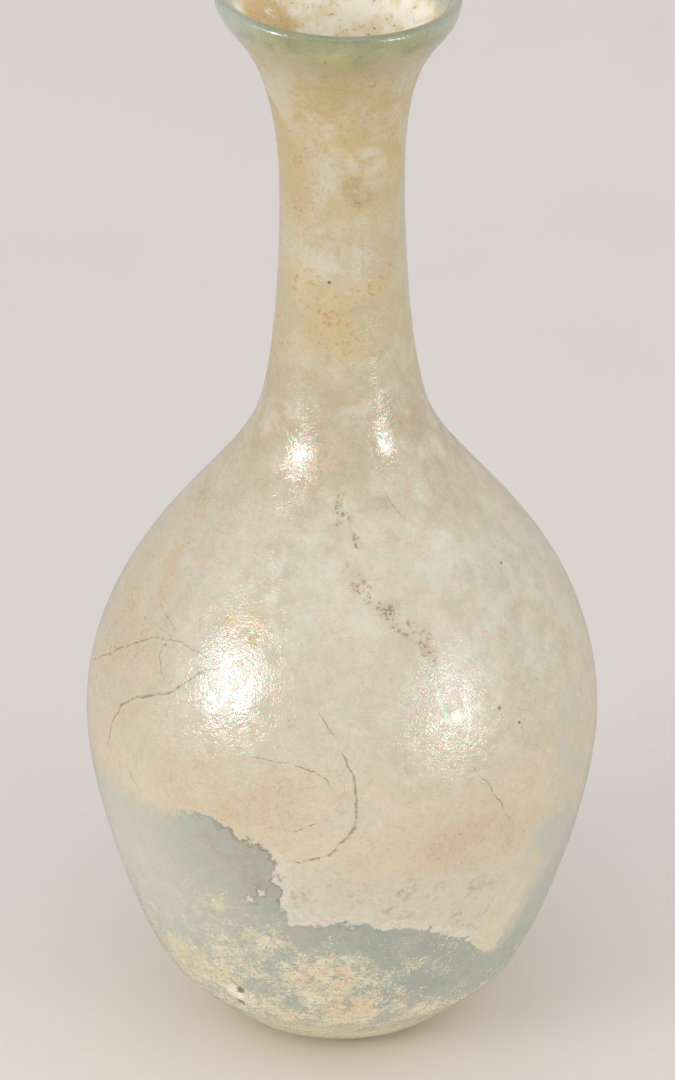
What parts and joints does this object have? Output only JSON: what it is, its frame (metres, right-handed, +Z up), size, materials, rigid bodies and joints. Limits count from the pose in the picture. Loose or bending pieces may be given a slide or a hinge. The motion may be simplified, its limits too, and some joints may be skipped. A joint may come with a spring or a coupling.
{
  "type": "roman glass unguentarium",
  "caption": "Free-blown glass flask with a round body, narrow neck and flared, rounded mouth, weathered and iridescent.",
  "frame": {"origin": "centre of the foot, on the table", "axes": "+Z up along the neck, -Y towards the front, +X to the right as seen from the front"},
  "size_m": [0.0732, 0.0732, 0.1607],
  "materials": {
    "weathered_glass": "pale blue-green glass with a cream deposit inside, iridescent weathering and fine crust low on the body"
  },
  "bodies": {
    "root": {"glass_flask": "weathered_glass"}
  },
  "joints": []
}
